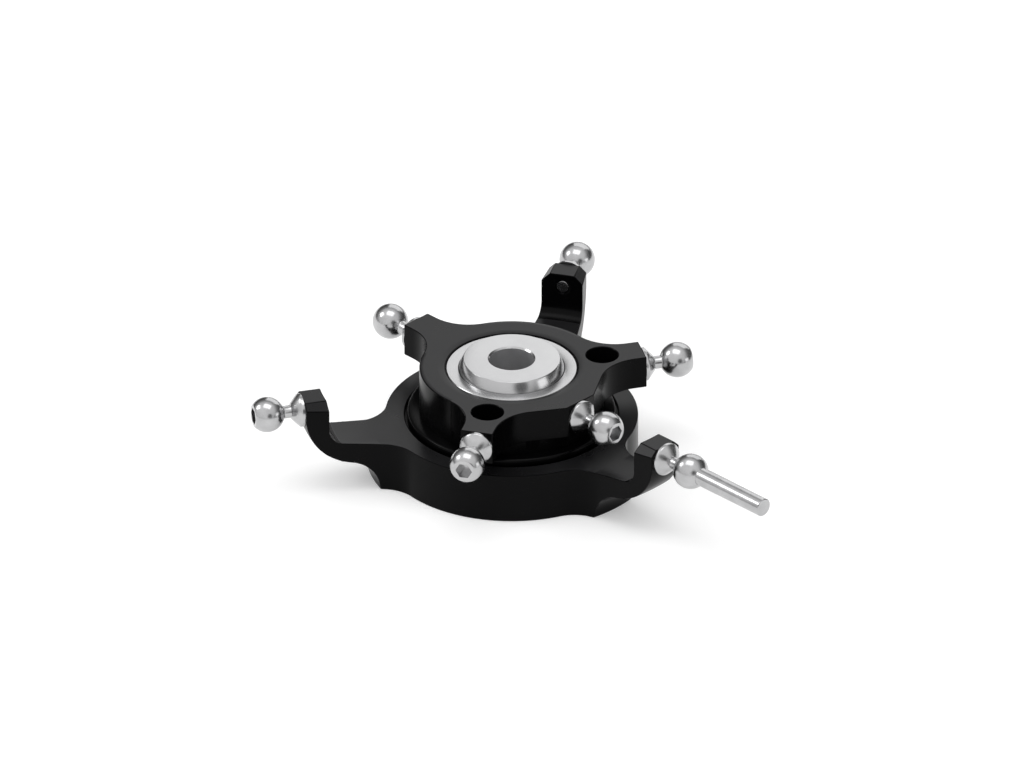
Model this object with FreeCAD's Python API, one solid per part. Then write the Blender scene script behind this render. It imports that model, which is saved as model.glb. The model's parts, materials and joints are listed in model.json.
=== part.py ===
import FreeCAD, Part
import math
import os
from FreeCAD import Vector

# Swashplate of a 500-class model helicopter, in millimetres.
# The origin is the centre of the pivot ball, which is also the plane of the link-ball centres.
# +Z runs up the rotor mast and the guide pin points along -Y.

# ---- Driving dimensions -------------------------------------------------------------------------

# Pivot ball and its seat
mast_radius = 3.0             # bore of the pivot ball, for a 6 mm mast
ball_radius = 7.35
ball_half_height = 3.63       # the ball is cut flat above and below
ball_edge = 0.2               # chamfer on the ball's bore and rims
ball_fit = 0.02               # running clearance on each side of the liner
liner_wall = 0.15
liner_half_height = 0.6
race_wall = 1.32              # race ring, at the ball's equator
race_upper_height = 2.19
race_lower_height = 2.6
race_edge = 0.15              # chamfer on the race rings' outer rims
seat_clearance = 0.04         # radial, race rings in the hub

# Rotating plate
plate_half_thickness = 2.3
hub_wall = 3.5                # round the race rings
hub_ledge = 1.6               # shoulder under the lower race ring
neck_wall = 2.7               # hub inside the bearing
hub_drop = 1.8                # visible hub below the plate, down to the dust flange
flange_overhang = 1.6
flange_thickness = 0.9
flange_edge = 0.35
pitch_arm_length = 5.8        # from the hub's wall to the ball's seat
pitch_arm_half_width = 2.25
pitch_arm_blend = 6.2         # concave fillet from arm to hub
driver_boss_height = 0.7      # flat seat beyond the hub's wall
driver_boss_half_width = 2.57
pocket_radius = 2.18          # balance pockets beside the driver boss
pocket_depth = 3.6
pocket_wall = 1.5             # between a pocket and the hub's bore
plate_edge = 0.15             # broken edges of both plates

# Stationary plate
body_wall = 3.5               # round the bearing
flange_gap = 0.35             # radial, round the dust flange
axial_gap = 0.3               # below the dust flange
lip_thickness = 0.8           # lip above the bearing's outer race
lip_reach = 0.8
flange_proud = 0.8            # dust flange above the stationary plate's top
hub_recess = 0.5              # hub's end above the stationary plate's foot
arm_tip_half_width = 2.6      # at the lug's outer face
arm_blend = 5.0               # concave plan fillet from arm to body
arm_foot_step = 2.45          # foot of the arm beyond the body's wall
arm_elbow_curve = 7.3         # convex curve up the back of the lug
arm_elbow_drop = 0.2          # centre of that curve below the link balls' plane
arm_inner_curve = 2.0         # fillet between arm and lug
lug_thickness = 3.0
lug_height = 1.95             # above the link balls' plane
lug_top_half_width = 1.7      # flat between the lug's sloping corners
sweep_clearance = 1.33        # pitch-link balls to the lugs' inner faces

# Thin-section ball bearing, 20 x 27 x 4
bearing_section = 3.5
bearing_width = 4.0
bearing_ball_radius = 1.0
bearing_ball_count = 16
bearing_play = 0.03           # ball to raceway
bearing_land = 0.6            # raceway shoulders, inside and outside the balls' pitch circle
bearing_fit = 0.02            # radial, races on their seats
cage_half_height = 1.35
cage_half_width = 0.38
cage_play = 0.06
shield_thickness = 0.2
shield_inset = 0.2
shield_gap = 0.12             # to the inner race
shield_bite = 0.15            # into the outer race

# Retaining rings
circlip_thickness = 0.6
circlip_groove = 0.5          # depth of the grooves
circlip_stand = 0.9           # how far a ring stands out of its groove
circlip_gap_angle = 24.0      # degrees, between the ears
circlip_ear_radius = 0.7
circlip_eye_radius = 0.35
circlip_play = 0.02
neck_tail = 0.65              # hub below its circlip groove

# Link balls, screwed into the arms
link_ball_radius = 2.4
stud_reach = 4.8              # seat to ball centre
stud_collar_radius = 2.275
stud_rim = 0.4
stud_collar_length = 1.45
stud_cone_radius = 1.12       # small end of the collar's cone
stud_neck_radius = 0.87
stud_tip = 1.87               # ball centre to its flat end
socket_width = 2.0            # across the flats
socket_depth = 1.4
thread_radius = 1.0
thread_length = 2.6
thread_edge = 0.2
thread_clearance = 0.02
thread_hole_spare = 0.4       # blind holes beyond the thread's end
guide_pin_radius = 1.25
guide_pin_reach = 13.85       # ball centre to the pin's end
guide_pin_edge = 0.1

# Angles, in degrees
first_pitch_angle = 90.0      # of the first pitch arm, round the mast
guide_angle = 270.0           # of the guide pin, round the mast
arm_spacing_angle = 120.0
arm_taper_angle = 5.1         # each flank of a stationary arm, to its centre line
arm_rise_angle = 6.8          # slope of its top, from the foot out to the lug

# ---- Derived sizes ------------------------------------------------------------------------------

pitch_angles = {"pitch_ball_a": first_pitch_angle,
                "pitch_ball_b": first_pitch_angle + arm_spacing_angle,
                "pitch_ball_c": first_pitch_angle + 2 * arm_spacing_angle}
pocket_angles = (pitch_angles["pitch_ball_b"], pitch_angles["pitch_ball_c"])
driver_angle = first_pitch_angle + 180
servo_angles = {"servo_ball_a": guide_angle + arm_spacing_angle,
                "servo_ball_b": guide_angle + 2 * arm_spacing_angle}
arm_taper = math.tan(math.radians(arm_taper_angle))
arm_rise = math.tan(math.radians(arm_rise_angle))

liner_inner = ball_radius + ball_fit
liner_outer = liner_inner + liner_wall
race_sphere = liner_outer + ball_fit
race_outer = race_sphere + race_wall
hub_bore = race_outer + seat_clearance
hub_radius = hub_bore + hub_wall
throat_radius = hub_bore - hub_ledge

plate_top = plate_half_thickness
plate_bottom = -plate_half_thickness
flange_top = plate_bottom - hub_drop
flange_bottom = flange_top - flange_thickness
flange_radius = hub_radius + flange_overhang
lip_top = flange_bottom - axial_gap
bearing_top = lip_top - lip_thickness
bearing_bottom = bearing_top - bearing_width
bearing_middle = bearing_top - bearing_width / 2
groove_bottom = bearing_bottom - circlip_thickness - circlip_play
neck_bottom = groove_bottom - neck_tail
body_top = flange_top - flange_proud
body_bottom = neck_bottom - hub_recess

bearing_bore = throat_radius + neck_wall
bearing_outer = bearing_bore + bearing_section
bearing_pitch = bearing_bore + bearing_section / 2
neck_radius = bearing_bore - bearing_fit
inner_land = bearing_pitch - bearing_land
outer_land = bearing_pitch + bearing_land
body_bore = bearing_outer + bearing_fit
body_radius = bearing_outer + body_wall
counterbore = flange_radius + flange_gap
lip_radius = bearing_outer - lip_reach

pitch_arm_end = hub_radius + pitch_arm_length
driver_boss_end = hub_radius + driver_boss_height
pocket_circle = hub_bore + pocket_wall + pocket_radius
lug_inner = pitch_arm_end + stud_reach + stud_tip + sweep_clearance
lug_outer = lug_inner + lug_thickness
lug_turned = math.hypot(lug_outer, arm_tip_half_width)
foot_reach = body_radius + arm_foot_step
thread_hole = thread_radius + thread_clearance


# ---- Small geometry helpers ---------------------------------------------------------------------

def at(point, plane):
    """Point (a, b) of a sketch on the XY or the XZ plane."""
    a, b = point
    return Vector(a, b, 0) if plane == "XY" else Vector(a, 0, b)


def outline(start, steps, plane="XZ"):
    """Closed face. A step is an end point, or a (through, end) pair for an arc."""
    edges = []
    here = start
    for step in list(steps) + [start]:
        is_arc = isinstance(step[0], tuple)
        end = step[1] if is_arc else step
        if is_arc:
            edges.append(Part.Arc(at(here, plane), at(step[0], plane), at(end, plane)).toShape())
        elif math.dist(here, end) > 1e-6:
            edges.append(Part.LineSegment(at(here, plane), at(end, plane)).toShape())
        here = end
    return Part.Face(Part.Wire(edges))


def mirrored(point):
    return (point[0], -point[1])


def arc_through(centre, radius, start, end):
    """Point halfway along the shorter arc between two points of a circle."""
    mx, mz = (start[0] + end[0]) / 2 - centre[0], (start[1] + end[1]) / 2 - centre[1]
    scale = radius / math.hypot(mx, mz)
    return (centre[0] + mx * scale, centre[1] + mz * scale)


def turned(start, steps):
    """Solid of revolution round Z from an outline of (radius, height) points."""
    return outline(start, steps).revolve(Vector(), Vector(0, 0, 1), 360)


def stud_turned(start, steps):
    """Solid of revolution round X from an outline of (distance, radius) points."""
    return outline(start, steps, "XY").revolve(Vector(), Vector(1, 0, 0), 360)


def ring(inner, outer, low, high):
    return turned((inner, low), [(outer, low), (outer, high), (inner, high)])


def spun(shape, angle):
    """Copy turned round Z."""
    copy = shape.copy()
    copy.rotate(Vector(), Vector(0, 0, 1), angle)
    return copy


def seated(stud, radius, angle):
    """Stud built along +X, put on a seat at this radius and angle."""
    copy = stud.copy()
    copy.translate(Vector(radius, 0, 0))
    return spun(copy, angle)


def on_circle(radius, centre_radius, angle, low, high):
    """Upright round bar whose centre lies at this radius and angle."""
    bar = Part.makeCylinder(radius, high - low, Vector(centre_radius, 0, low))
    return spun(bar, angle)


def radial_hole(seat, depth, angle):
    """Tapped hole that runs inwards from a seat."""
    hole = Part.makeCylinder(thread_hole, depth, Vector(seat, 0, 0), Vector(-1, 0, 0))
    return spun(hole, angle)


def joined(first, others):
    return first.fuse(list(others)).removeSplitter()


# ---- Pivot ball and its seat --------------------------------------------------------------------

def make_pivot_ball():
    rim = math.sqrt(ball_radius ** 2 - ball_half_height ** 2)
    low, high = -ball_half_height, ball_half_height
    return turned(
        (mast_radius, low + ball_edge),
        [(mast_radius + ball_edge, low), (rim, low), ((ball_radius, 0), (rim, high)),
         (mast_radius + ball_edge, high), (mast_radius, high - ball_edge)])


def make_ball_liner():
    inner_rim = math.sqrt(liner_inner ** 2 - liner_half_height ** 2)
    outer_rim = math.sqrt(liner_outer ** 2 - liner_half_height ** 2)
    low, high = -liner_half_height, liner_half_height
    return turned(
        (inner_rim, low),
        [(outer_rim, low), ((liner_outer, 0), (outer_rim, high)),
         (inner_rim, high), ((liner_inner, 0), (inner_rim, low))])


def make_race_ring(height):
    """Ring from the equator to this height, with half of the ball's spherical seat."""
    rim = math.sqrt(race_sphere ** 2 - height ** 2)
    half = height / 2
    through = (math.sqrt(race_sphere ** 2 - half ** 2), half)
    edge = math.copysign(race_edge, height)
    return turned(
        (race_sphere, 0),
        [(race_outer, 0), (race_outer, height - edge), (race_outer - race_edge, height),
         (rim, height), (through, (race_sphere, 0))])


# ---- Rotating plate -----------------------------------------------------------------------------

def make_hub():
    """Hub, dust flange and bearing neck as one turned body."""
    edge = plate_edge
    groove = neck_radius - circlip_groove
    shoulder = inner_land
    return turned(
        (hub_bore, plate_top - edge),
        [(hub_bore + edge, plate_top), (hub_radius - edge, plate_top), (hub_radius, plate_top - edge),
         (hub_radius, flange_top), (flange_radius - flange_edge, flange_top),
         (flange_radius, flange_top - flange_edge), (flange_radius, flange_bottom),
         (shoulder, flange_bottom), (shoulder, bearing_top), (neck_radius, bearing_top),
         (neck_radius, bearing_bottom), (groove, bearing_bottom), (groove, groove_bottom),
         (neck_radius, groove_bottom), (neck_radius, neck_bottom + edge),
         (neck_radius - edge, neck_bottom), (throat_radius + edge, neck_bottom),
         (throat_radius, neck_bottom + edge), (throat_radius, -race_lower_height),
         (hub_bore, -race_lower_height)])


def blended_arm(end, half_width, taper, core, blend):
    """Plan outline of an arm along +X, with concave fillets to a round core.

    The fillet's centre lies one fillet radius off the arm's flank and off the core's circle.
    """
    slope = math.hypot(1, taper)
    rise = half_width + taper * end + blend * slope
    root = math.sqrt((slope * (core + blend)) ** 2 - rise ** 2)
    centre = ((rise * taper + root) / slope ** 2, (rise - root * taper) / slope ** 2)
    on_flank = (centre[0] - blend * taper / slope, centre[1] - blend / slope)
    on_core = (centre[0] * core / (core + blend), centre[1] * core / (core + blend))
    through = arc_through(centre, blend, on_flank, on_core)
    return outline(
        (0, 0),
        [mirrored(on_core), (mirrored(through), mirrored(on_flank)), (end, -half_width),
         (end, half_width), on_flank, (through, on_core)], "XY")


def make_boss_outline():
    """Plan outline of the driver boss: its flat, and sides that run tangent into the hub."""
    corner = math.hypot(driver_boss_end, driver_boss_half_width)
    angle = math.atan2(driver_boss_half_width, driver_boss_end) + math.acos(hub_radius / corner)
    x, y = hub_radius * math.cos(angle), hub_radius * math.sin(angle)
    return outline(
        (0, 0),
        [(x, -y), (driver_boss_end, -driver_boss_half_width),
         (driver_boss_end, driver_boss_half_width), (x, y)], "XY")


def plate_slab(face):
    face.translate(Vector(0, 0, plate_bottom))
    return face.extrude(Vector(0, 0, plate_top - plate_bottom))


def make_rotating_plate():
    arm = plate_slab(blended_arm(pitch_arm_end, pitch_arm_half_width, 0, hub_radius, pitch_arm_blend))
    boss = plate_slab(make_boss_outline())
    limbs = [spun(arm, angle) for angle in pitch_angles.values()] + [spun(boss, driver_angle)]
    opening = Part.makeCylinder(hub_bore + hub_wall / 2, 4 * plate_top, Vector(0, 0, -2 * plate_top))
    limbs = [limb.cut(opening) for limb in limbs]
    plate = joined(make_hub(), limbs)
    depth = thread_length + thread_hole_spare
    cuts = [radial_hole(pitch_arm_end, depth, angle) for angle in pitch_angles.values()]
    cuts.append(radial_hole(driver_boss_end, depth, driver_angle))
    for angle in pocket_angles:
        cuts.append(on_circle(pocket_radius, pocket_circle, angle, plate_top - pocket_depth, plate_top))
    return plate.cut(cuts)


# ---- Stationary plate ---------------------------------------------------------------------------

def arm_underside():
    """Steps of the underside, from the back of the lug in to the foot.

    The foot's curve starts upright at the foot and runs tangent into the elbow's curve.
    """
    elbow, drop = arm_elbow_curve, arm_elbow_drop
    elbow_centre = (lug_turned - elbow, -drop)
    across, down = elbow_centre[0] - foot_reach, elbow_centre[1] - body_bottom
    sweep = (across ** 2 + down ** 2 - elbow ** 2) / (2 * (elbow + across))
    foot = (foot_reach, body_bottom)
    foot_centre = (foot_reach + sweep, body_bottom)
    share = elbow / (elbow + sweep)
    meet = (elbow_centre[0] + share * (foot_centre[0] - elbow_centre[0]),
            elbow_centre[1] + share * (foot_centre[1] - elbow_centre[1]))
    back = (lug_turned, -drop)
    return [back, (arc_through(elbow_centre, elbow, back, meet), meet),
            (arc_through(foot_centre, sweep, meet, foot), foot)]


def arm_top():
    """Steps of the sloping top, from above the foot out to the lug's inner fillet."""
    slope = math.hypot(1, arm_rise)
    centre_r = lug_inner - arm_inner_curve
    centre_z = body_top + arm_rise * (centre_r - foot_reach) + arm_inner_curve * slope
    centre = (centre_r, centre_z)
    low = (centre_r + arm_inner_curve * arm_rise / slope, centre_z - arm_inner_curve / slope)
    high = (lug_inner, centre_z)
    return [(foot_reach, body_top), low, (arc_through(centre, arm_inner_curve, low, high), high)]


def make_turned_blank():
    """The plate as it leaves the lathe: bearing housing, disc, rim of the lugs and underside."""
    edge = plate_edge
    groove = body_bore + circlip_groove
    return turned(
        (lip_radius, lip_top),
        [(counterbore, lip_top), (counterbore, body_top - edge), (counterbore + edge, body_top)]
        + arm_top() + [(lug_inner, lug_height), (lug_turned, lug_height)] + arm_underside()
        + [(body_bore + edge, body_bottom), (body_bore, body_bottom + edge),
           (body_bore, groove_bottom), (groove, groove_bottom), (groove, bearing_bottom),
           (body_bore, bearing_bottom), (body_bore, bearing_top), (lip_radius, bearing_top)])


def make_plan_blank(angles):
    """Upright bar with the plan outline of the body and its arms."""
    height = lug_height - body_bottom
    plan = blended_arm(lug_outer, arm_tip_half_width, arm_taper, body_radius, arm_blend)
    plan.translate(Vector(0, 0, body_bottom))
    arm = plan.extrude(Vector(0, 0, height))
    body = Part.makeCylinder(body_radius, height, Vector(0, 0, body_bottom))
    return joined(body, [spun(arm, angle) for angle in angles])


def make_lug_corners():
    """Wedges that slope the two top corners of a lug along +X."""
    wedges = []
    for sign in (-1, 1):
        near, far = sign * lug_top_half_width, sign * body_radius
        wedge = Part.Face(Part.makePolygon([
            Vector(0, near, lug_height), Vector(0, far, lug_height),
            Vector(0, far, lug_height + lug_top_half_width - body_radius), Vector(0, near, lug_height)]))
        wedge.translate(Vector(lug_inner - lug_thickness / 2, 0, 0))
        wedges.append(wedge.extrude(Vector(2 * lug_thickness, 0, 0)))
    return wedges


def make_stationary_plate():
    """Turned blank, milled to its plan outline, then to the lugs' corners and screw holes."""
    angles = list(servo_angles.values()) + [guide_angle]
    plate = make_turned_blank().common(make_plan_blank(angles))
    cuts = []
    for angle in angles:
        cuts += [spun(wedge, angle) for wedge in make_lug_corners()]
        cuts.append(radial_hole(lug_outer, 2 * lug_thickness, angle))
    return plate.cut(cuts).removeSplitter()


# ---- Ball bearing between the plates ------------------------------------------------------------

def make_inner_race():
    groove = bearing_ball_radius + bearing_play
    reach = math.sqrt(groove ** 2 - bearing_land ** 2)
    low, high = bearing_middle - reach, bearing_middle + reach
    return turned(
        (bearing_bore, bearing_bottom),
        [(inner_land, bearing_bottom), (inner_land, low),
         ((bearing_pitch - groove, bearing_middle), (inner_land, high)),
         (inner_land, bearing_top), (bearing_bore, bearing_top)])


def make_outer_race():
    groove = bearing_ball_radius + bearing_play
    reach = math.sqrt(groove ** 2 - bearing_land ** 2)
    low, high = bearing_middle - reach, bearing_middle + reach
    step = outer_land + shield_bite
    shelf = shield_inset + shield_thickness
    return turned(
        (step, bearing_bottom),
        [(bearing_outer, bearing_bottom), (bearing_outer, bearing_top), (step, bearing_top),
         (step, bearing_top - shelf), (outer_land, bearing_top - shelf), (outer_land, high),
         ((bearing_pitch + groove, bearing_middle), (outer_land, low)),
         (outer_land, bearing_bottom + shelf), (step, bearing_bottom + shelf)])


def make_bearing_balls():
    balls = []
    for index in range(bearing_ball_count):
        centre = Vector(bearing_pitch, 0, bearing_middle)
        balls.append(spun(Part.makeSphere(bearing_ball_radius, centre), index * 360 / bearing_ball_count))
    return Part.makeCompound(balls)


def make_bearing_cage():
    low, high = bearing_middle - cage_half_height, bearing_middle + cage_half_height
    cage = ring(bearing_pitch - cage_half_width, bearing_pitch + cage_half_width, low, high)
    pocket = Part.makeCylinder(bearing_ball_radius + cage_play, bearing_section,
                               Vector(bearing_bore, 0, bearing_middle), Vector(1, 0, 0))
    step = 360 / bearing_ball_count
    return cage.cut([spun(pocket, index * step) for index in range(bearing_ball_count)])


def make_shield(outer_face, inwards):
    """Shield seated in the outer race, measured from a face of the bearing."""
    near = outer_face + inwards * shield_inset
    far = near + inwards * shield_thickness
    return ring(inner_land + shield_gap, outer_land + shield_bite, min(near, far), max(near, far))


# ---- Retaining rings ----------------------------------------------------------------------------

def make_circlip(seat, free, angle):
    """Ring from its groove's floor to its free edge, with a gap and two eyed ears."""
    high = bearing_bottom
    low = high - circlip_thickness
    clip = ring(min(seat, free), max(seat, free), low, high)
    reach = 2 * max(seat, free)
    half = math.radians(circlip_gap_angle / 2)
    corner_x, corner_y = reach * math.cos(half), reach * math.sin(half)
    gap = outline((0, 0), [(corner_x, -corner_y), (corner_x, corner_y)], "XY")
    gap.translate(Vector(0, 0, low))
    clip = clip.cut(gap.extrude(Vector(0, 0, circlip_thickness)))
    turn = circlip_gap_angle / 2 + math.degrees(circlip_ear_radius / free)
    ears = [on_circle(circlip_ear_radius, free, side * turn, low, high) for side in (-1, 1)]
    eyes = [on_circle(circlip_eye_radius, free, side * turn, low, high) for side in (-1, 1)]
    return spun(joined(clip, ears).cut(eyes), angle)


# ---- Link balls ---------------------------------------------------------------------------------

def stud_foot():
    """Outline points shared by all studs, from the thread's end to the ball's neck."""
    neck = stud_reach - math.sqrt(link_ball_radius ** 2 - stud_neck_radius ** 2)
    return [(-thread_length, thread_radius - thread_edge), (thread_edge - thread_length, thread_radius),
            (0, thread_radius), (0, stud_collar_radius), (stud_rim, stud_collar_radius),
            (stud_collar_length, stud_cone_radius), (stud_collar_length, stud_neck_radius),
            (neck, stud_neck_radius)]


def make_link_ball():
    """Link ball with a flat, socketed end."""
    flat = math.sqrt(link_ball_radius ** 2 - stud_tip ** 2)
    end = stud_reach + stud_tip
    over = (stud_reach, link_ball_radius)
    stud = stud_turned((-thread_length, 0), stud_foot() + [(over, (end, flat)), (end, 0)])
    corner = socket_width / math.sqrt(3)
    points = []
    for index in range(7):
        turn = math.radians(60 * index)
        points.append(Vector(end, corner * math.cos(turn), corner * math.sin(turn)))
    socket = Part.Face(Part.makePolygon(points)).extrude(Vector(-socket_depth, 0, 0))
    return stud.cut(socket)


def make_guide_pin_ball():
    """Link ball that carries the anti-rotation pin instead of a socket."""
    root = stud_reach + math.sqrt(link_ball_radius ** 2 - guide_pin_radius ** 2)
    end = stud_reach + guide_pin_reach
    over = (stud_reach, link_ball_radius)
    return stud_turned(
        (-thread_length, 0),
        stud_foot() + [(over, (root, guide_pin_radius)), (end - guide_pin_edge, guide_pin_radius),
                       (end, guide_pin_radius - guide_pin_edge), (end, 0)])


# ---- Assembly -----------------------------------------------------------------------------------

def make_parts():
    link_ball = make_link_ball()
    parts = {
        "pivot_ball": make_pivot_ball(),
        "ball_liner": make_ball_liner(),
        "race_ring_upper": make_race_ring(race_upper_height),
        "race_ring_lower": make_race_ring(-race_lower_height),
        "rotating_plate": make_rotating_plate(),
        "stationary_plate": make_stationary_plate(),
        "bearing_inner_race": make_inner_race(),
        "bearing_outer_race": make_outer_race(),
        "bearing_balls": make_bearing_balls(),
        "bearing_cage": make_bearing_cage(),
        "bearing_shield_upper": make_shield(bearing_top, -1),
        "bearing_shield_lower": make_shield(bearing_bottom, 1),
        "hub_circlip": make_circlip(neck_radius - circlip_groove + circlip_play,
                                    neck_radius + circlip_stand, 90.0),
        "housing_circlip": make_circlip(body_bore + circlip_groove - circlip_play,
                                        body_bore - circlip_stand, 270.0),
        "driver_ball": seated(link_ball, driver_boss_end, driver_angle),
        "guide_pin_ball": seated(make_guide_pin_ball(), lug_outer, guide_angle),
    }
    for name, angle in pitch_angles.items():
        parts[name] = seated(link_ball, pitch_arm_end, angle)
    for name, angle in servo_angles.items():
        parts[name] = seated(link_ball, lug_outer, angle)
    return parts


os.makedirs("parts", exist_ok=True)
for name, shape in make_parts().items():
    shape.exportStep("parts/" + name + ".step")
    print(name, "solids", len(shape.Solids), "volume", round(shape.Volume, 3), "valid", shape.isValid())
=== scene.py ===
import json
import math

import bmesh
import bpy
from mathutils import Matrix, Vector

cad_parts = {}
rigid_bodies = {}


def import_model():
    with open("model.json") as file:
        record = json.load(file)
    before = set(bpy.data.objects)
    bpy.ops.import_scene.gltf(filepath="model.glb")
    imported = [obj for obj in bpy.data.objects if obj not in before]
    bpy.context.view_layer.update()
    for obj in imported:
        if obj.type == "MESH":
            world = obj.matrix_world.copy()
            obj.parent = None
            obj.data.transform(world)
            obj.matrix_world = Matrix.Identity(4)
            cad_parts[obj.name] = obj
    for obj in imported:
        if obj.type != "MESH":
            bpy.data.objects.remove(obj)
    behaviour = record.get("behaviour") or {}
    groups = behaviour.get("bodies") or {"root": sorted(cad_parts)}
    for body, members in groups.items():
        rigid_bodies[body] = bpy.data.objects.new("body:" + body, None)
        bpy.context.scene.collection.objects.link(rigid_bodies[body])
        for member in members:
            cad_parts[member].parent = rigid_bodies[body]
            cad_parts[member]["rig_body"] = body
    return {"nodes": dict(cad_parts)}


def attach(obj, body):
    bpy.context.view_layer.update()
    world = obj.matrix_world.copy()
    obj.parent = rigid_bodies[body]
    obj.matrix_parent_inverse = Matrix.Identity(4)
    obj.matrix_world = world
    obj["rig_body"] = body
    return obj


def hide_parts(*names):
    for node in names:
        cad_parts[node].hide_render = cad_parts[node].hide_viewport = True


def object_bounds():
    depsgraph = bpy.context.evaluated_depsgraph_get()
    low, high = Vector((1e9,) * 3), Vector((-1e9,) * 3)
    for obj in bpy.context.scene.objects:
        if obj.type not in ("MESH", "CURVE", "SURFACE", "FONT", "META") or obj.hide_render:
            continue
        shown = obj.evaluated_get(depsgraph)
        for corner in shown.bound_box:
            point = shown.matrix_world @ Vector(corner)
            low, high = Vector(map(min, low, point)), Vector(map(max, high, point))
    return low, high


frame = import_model()
cadLow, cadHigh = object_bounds()
mm = 0.001  # sizes are written in millimetres, the scene is in metres
cadNodes = frame["nodes"]
meshCare = {"drawnMerge": 0.0002,  # the start and end of a drawn outline meet within this
            "spunMerge": 0.0005,  # so do the doubles of a turned or raised shell
            "near": 0.02,  # a point this close to a place is the one meant
            "cutBeyond": 1.0,  # a cutter stands out this far past the face that it cuts
            "smoothBelow": 32,  # degrees
            "sameArea": 0.001,  # square millimetres
            "levelNormal": 0.98}  # a face is level when its normal points up by this share


def clearSelection():
    if bpy.context.object and bpy.context.object.mode != "OBJECT":
        bpy.ops.object.mode_set(mode="OBJECT")
    bpy.ops.object.select_all(action="DESELECT")


def pickOnly(piece):
    clearSelection()
    piece.select_set(True)
    bpy.context.view_layer.objects.active = piece


def editAll(piece):
    pickOnly(piece)
    bpy.ops.object.mode_set(mode="EDIT")
    bpy.ops.mesh.select_mode(type="VERT")
    bpy.ops.mesh.select_all(action="SELECT")


# kind is verts, edges or faces, and wanted(element) picks the ones to select
def selectWhere(piece, kind, wanted):
    bpy.ops.mesh.select_mode(type={"verts": "VERT", "edges": "EDGE", "faces": "FACE"}[kind])
    bpy.ops.mesh.select_all(action="DESELECT")
    mesh = bmesh.from_edit_mesh(piece.data)
    for element in getattr(mesh, kind):
        element.select_set(bool(wanted(element)))
    mesh.select_flush_mode()
    bmesh.update_edit_mesh(piece.data)


def spot(point, plane, level):
    a, b = point
    return Vector((a, level, b) if plane == "xz" else (a, b, level)) * mm


# an outline is drawn with one vertex, which is moved along or swung about a centre;
# moves are ("line", end) or ("arc", centre, degrees, steps), anticlockwise positive
def drawOutline(name, start, moves, plane="xz", level=0.0):
    clearSelection()
    bpy.ops.mesh.primitive_plane_add(size=mm, location=spot(start, plane, level))
    piece = bpy.context.object
    piece.name = piece.data.name = name
    bpy.ops.object.transform_apply(location=True)
    editAll(piece)
    bpy.ops.mesh.merge(type="CENTER")
    here = start
    axis = (0, 1, 0) if plane == "xz" else (0, 0, -1)
    for move in moves:
        if move[0] == "line":
            step = spot(move[1], plane, level) - spot(here, plane, level)
            bpy.ops.mesh.extrude_vertices_move(TRANSFORM_OT_translate={"value": step})
            here = move[1]
        else:
            centre, degrees, steps = move[1:]
            bpy.ops.mesh.spin(steps=steps, angle=math.radians(degrees), axis=axis,
                              center=spot(centre, plane, level))
            here = swung(here, centre, degrees)
    bpy.ops.mesh.select_all(action="SELECT")
    bpy.ops.mesh.remove_doubles(threshold=meshCare["drawnMerge"] * mm)
    return piece


def swung(point, centre, degrees):
    turn = math.radians(degrees)
    a, b = point[0] - centre[0], point[1] - centre[1]
    return (centre[0] + a * math.cos(turn) - b * math.sin(turn),
            centre[1] + a * math.sin(turn) + b * math.cos(turn))


# the shorter arc from start to end
def arcBetween(start, end, centre, steps):
    first = math.atan2(start[1] - centre[1], start[0] - centre[0])
    last = math.atan2(end[1] - centre[1], end[0] - centre[0])
    degrees = (math.degrees(last - first) + 180) % 360 - 180
    return ("arc", centre, degrees, steps)


# rounds these corners of a drawn outline; one segment is a chamfer
def roundOutline(piece, corners, offset, segments, plane="xz"):
    places = [spot(corner, plane, 0) for corner in corners]

    def isCorner(vert):
        return any((vert.co - place).length < meshCare["near"] * mm for place in places)
    selectWhere(piece, "verts", isCorner)
    bpy.ops.mesh.bevel(affect="VERTICES", offset=offset * mm, segments=segments,
                       profile=0.5, clamp_overlap=False)


# turns the outline that is being drawn right round and closes it
def spinClosed(steps, axis=(0, 0, 1)):
    bpy.ops.mesh.select_all(action="SELECT")
    bpy.ops.mesh.spin(steps=steps, angle=2 * math.pi, center=(0, 0, 0), axis=axis)
    closeShell()


def closeShell():
    bpy.ops.mesh.select_all(action="SELECT")
    bpy.ops.mesh.remove_doubles(threshold=meshCare["spunMerge"] * mm)
    bpy.ops.mesh.normals_make_consistent(inside=False)
    bpy.ops.object.mode_set(mode="OBJECT")


def applyModifier(piece, kind, **values):
    pickOnly(piece)
    bpy.ops.object.modifier_add(type=kind)
    modifier = piece.modifiers[-1]
    for key, value in values.items():
        setattr(modifier, key, value)
    bpy.ops.object.modifier_apply(modifier=modifier.name)


def combine(piece, tool, operation):
    applyModifier(piece, "BOOLEAN", object=tool, operation=operation, solver="EXACT")
    pickOnly(tool)
    bpy.ops.object.delete()


# a high weight keeps large flat faces even right up to their broken edges
def smoothFinish(piece, weight=50):
    pickOnly(piece)
    bpy.ops.object.shade_smooth_by_angle(angle=math.radians(meshCare["smoothBelow"]))
    applyModifier(piece, "WEIGHTED_NORMAL", keep_sharp=True, mode="FACE_AREA", weight=weight,
                  thresh=meshCare["sameArea"] * mm ** 2)


# gives the faces that wanted(face) picks another of the piece's finishes
def paintWhere(piece, slotIndex, wanted):
    editAll(piece)
    selectWhere(piece, "faces", wanted)
    piece.active_material_index = slotIndex
    bpy.ops.object.material_slot_assign()
    bpy.ops.object.mode_set(mode="OBJECT")


# level faces above a height, which take the lighter copy of the black: painted light on the tops
def isPaintedLitTop(face, lowest):
    return face.normal.z > meshCare["levelNormal"] and face.calc_center_median().z > lowest * mm


def moveBy(piece, step):
    editAll(piece)
    bpy.ops.transform.translate(value=Vector(step) * mm)
    bpy.ops.object.mode_set(mode="OBJECT")


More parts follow.
